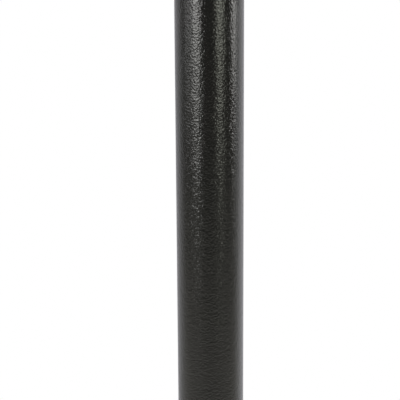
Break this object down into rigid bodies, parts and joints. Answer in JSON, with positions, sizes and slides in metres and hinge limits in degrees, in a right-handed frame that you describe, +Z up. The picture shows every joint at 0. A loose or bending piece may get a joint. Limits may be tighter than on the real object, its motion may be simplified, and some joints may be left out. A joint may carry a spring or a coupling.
{
  "type": "garden torch",
  "caption": "Oil-burning garden torch: ground spike, sectional black steel pole, ribbed open cage, lift-out fuel can with screw-on wick burner and hinged snuffer.",
  "frame": {"origin": "ground level on the pole's axis, at the top of the spike's shank, on the underside of the foot bar", "axes": "+Z up along the pole, -Z along the spike into the ground, +X towards the thumb screw and the snuffer's hinge"},
  "size_m": [0.1332, 0.1332, 1.6164],
  "materials": {
    "powder_coat": "fine-texture black powder coat, semi-gloss",
    "spike_zinc": "bright zinc plate, scuffed at the point",
    "sleeve_zinc": "galvanised tube, satin",
    "plug_nylon": "moulded black nylon, fine grain",
    "rivet_black": "black painted pop rivets, worn on the domes",
    "can_steel": "spun stainless steel, circular brushing",
    "burner_brass": "satin brass, slightly aged",
    "gasket_rubber": "nitrile rubber, matt",
    "wick_fibre": "braided glass-fibre wick, charred at the tip",
    "snuffer_steel": "stainless steel, satin with a heat tint at the rim",
    "knob_phenolic": "moulded black phenolic, polished",
    "screw_black": "black oxide steel"
  },
  "bodies": {
    "spike_section": {"ground_spike": "spike_zinc", "foot_bar": "powder_coat", "spike_plug": "plug_nylon", "spike_rivets": "rivet_black", "pole_lower": "powder_coat", "joint_sleeve_lower": "sleeve_zinc", "sleeve_rivets_lower": "rivet_black"},
    "middle_section": {"pole_middle": "powder_coat", "joint_sleeve_upper": "sleeve_zinc", "sleeve_rivets_upper": "rivet_black"},
    "upper_section": {"pole_upper": "powder_coat"},
    "head": {"head_socket": "powder_coat", "screw_boss": "powder_coat", "cup": "powder_coat", "cage_ribs": "powder_coat", "cage_band": "powder_coat", "cage_waist_hoop": "powder_coat", "cage_top_hoop": "powder_coat", "band_rivets": "rivet_black", "hoop_rivets": "rivet_black"},
    "clamp_screw": {"thumb_screw": "screw_black"},
    "fuel_can": {"can_base": "can_steel", "can_body": "can_steel", "can_collar": "burner_brass"},
    "gasket": {"collar_gasket": "gasket_rubber"},
    "burner": {"burner_cap": "burner_brass", "wick_tube": "burner_brass", "tube_nut": "burner_brass", "snuffer_bracket": "snuffer_steel", "bracket_rivets": "snuffer_steel", "snuffer_pin": "snuffer_steel"},
    "wick_rope": {"wick": "wick_fibre"},
    "snuffer": {"snuffer_arm": "snuffer_steel", "arm_rivets": "snuffer_steel", "snuffer_bell": "snuffer_steel", "snuffer_knob": "knob_phenolic"}
  },
  "joints": [
    {"name": "middle_section_lift", "type": "slide", "parent": "spike_section", "child": "middle_section", "axis": [0, 0, 1], "range_m": [0, 0.06]},
    {"name": "upper_section_lift", "type": "slide", "parent": "middle_section", "child": "upper_section", "axis": [0, 0, 1], "range_m": [0, 0.06]},
    {"name": "head_lift", "type": "slide", "parent": "upper_section", "child": "head", "axis": [0, 0, 1], "range_m": [0, 0.07]},
    {"name": "thumb_screw_turn", "type": "hinge", "parent": "head", "child": "clamp_screw", "pos_m": [0, 0, 1.1855], "axis": [1, 0, 0], "range_deg": [-720, 0]},
    {"name": "fuel_can_lift", "type": "slide", "parent": "head", "child": "fuel_can", "axis": [0, 0, 1], "range_m": [0, 0.115]},
    {"name": "burner_lift", "type": "slide", "parent": "fuel_can", "child": "gasket", "axis": [0, 0, 1], "range_m": [0, 0.11]},
    {"name": "burner_turn", "type": "hinge", "parent": "gasket", "child": "burner", "pos_m": [0, 0, 1.3508], "axis": [0, 0, 1], "range_deg": [0, 900]},
    {"name": "wick_slide", "type": "slide", "parent": "burner", "child": "wick_rope", "axis": [0, 0, 1], "range_m": [-0.006, 0.007]},
    {"name": "snuffer_flip", "type": "hinge", "parent": "burner", "child": "snuffer", "pos_m": [0.024, 0, 1.3608], "axis": [0, 1, 0], "range_deg": [0, 100]}
  ]
}
